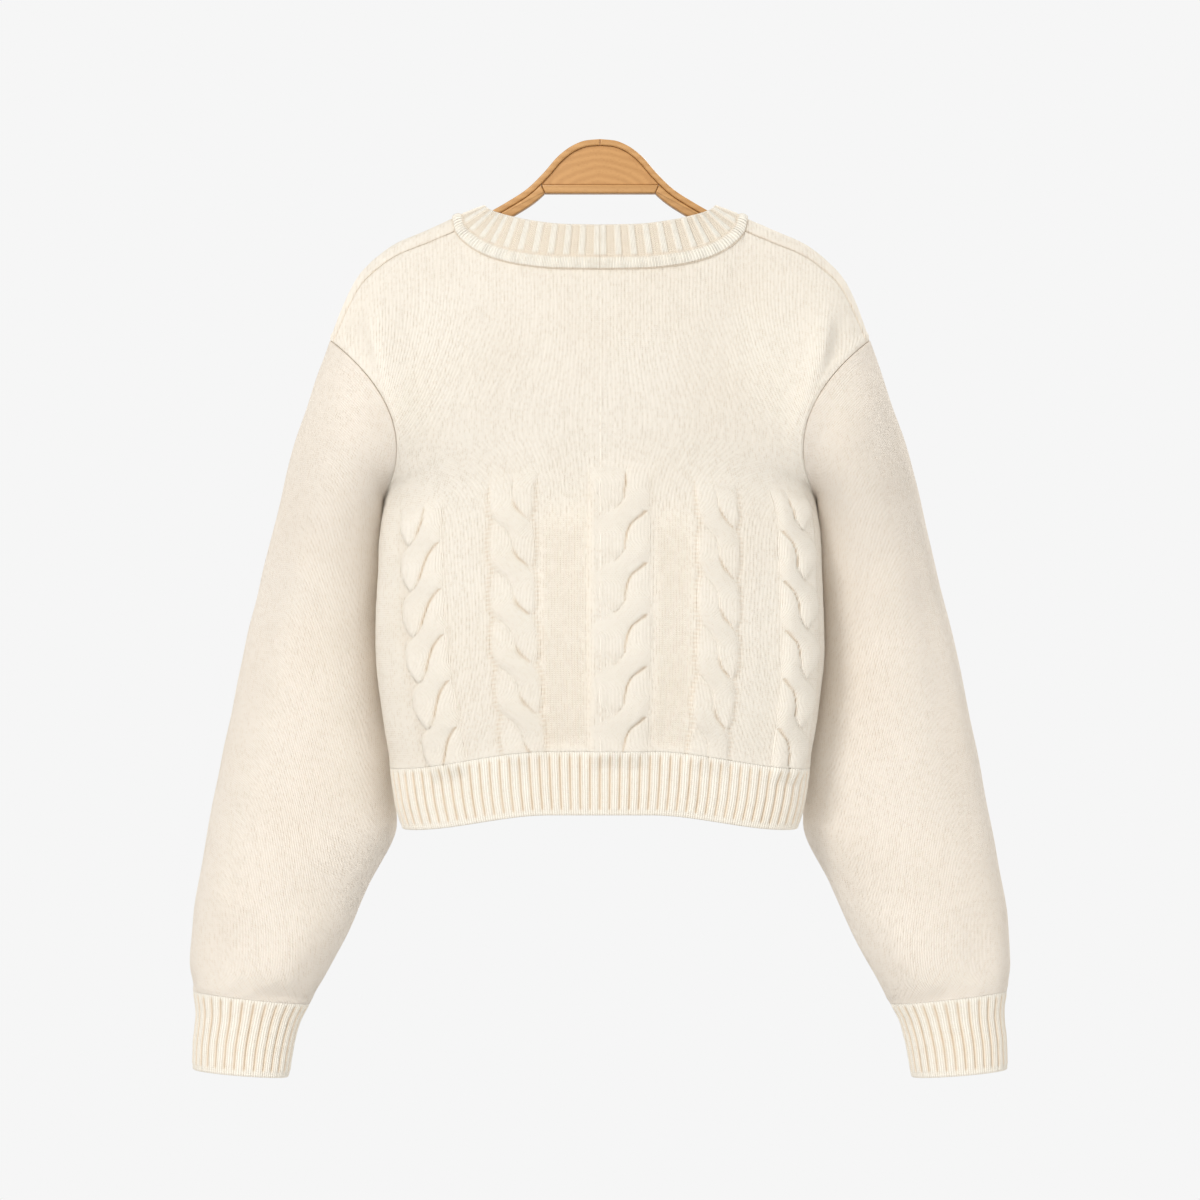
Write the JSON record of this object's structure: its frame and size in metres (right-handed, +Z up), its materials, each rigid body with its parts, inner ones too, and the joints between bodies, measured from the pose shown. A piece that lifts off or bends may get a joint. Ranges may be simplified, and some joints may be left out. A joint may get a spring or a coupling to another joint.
{
  "type": "cropped cable cardigan on a wooden hanger",
  "caption": "Cropped cable-knit cardigan with ribbed neck band, cuffs and hem, buttoned up the front and hanging open at neck and hem on a bentwood hanger",
  "frame": {"origin": "top of the hanger's crown, where the whole piece is held", "axes": "+Z up, +X towards the wearer's left, -Y towards the wearer's front, so the back with its cables faces +Y"},
  "size_m": [0.6032, 0.1326, 0.6876],
  "materials": {
    "cream_knit": "soft cable knit, cream",
    "cream_rib": "ribbed knit, cream",
    "button_horn": "satin, pale horn",
    "beech": "clear satin varnish on bent beech"
  },
  "bodies": {
    "root": {"back_panel": "cream_knit", "front_panel_left": "cream_knit", "front_panel_right": "cream_knit", "sleeve_left": "cream_knit", "sleeve_right": "cream_knit", "hem_rib_back": "cream_rib", "hem_rib_front_left": "cream_rib", "hem_rib_front_right": "cream_rib", "cuff_left": "cream_rib", "cuff_right": "cream_rib", "band_left": "cream_rib", "band_right": "cream_rib", "button_1": "button_horn", "button_2": "button_horn", "button_3": "button_horn", "button_4": "button_horn", "button_5": "button_horn", "hanger_outer_strip_left": "beech", "hanger_outer_strip_right": "beech", "hanger_inner_strip_left": "beech", "hanger_inner_strip_right": "beech", "hanger_crossbar": "beech", "hanger_panel": "beech"}
  },
  "joints": []
}
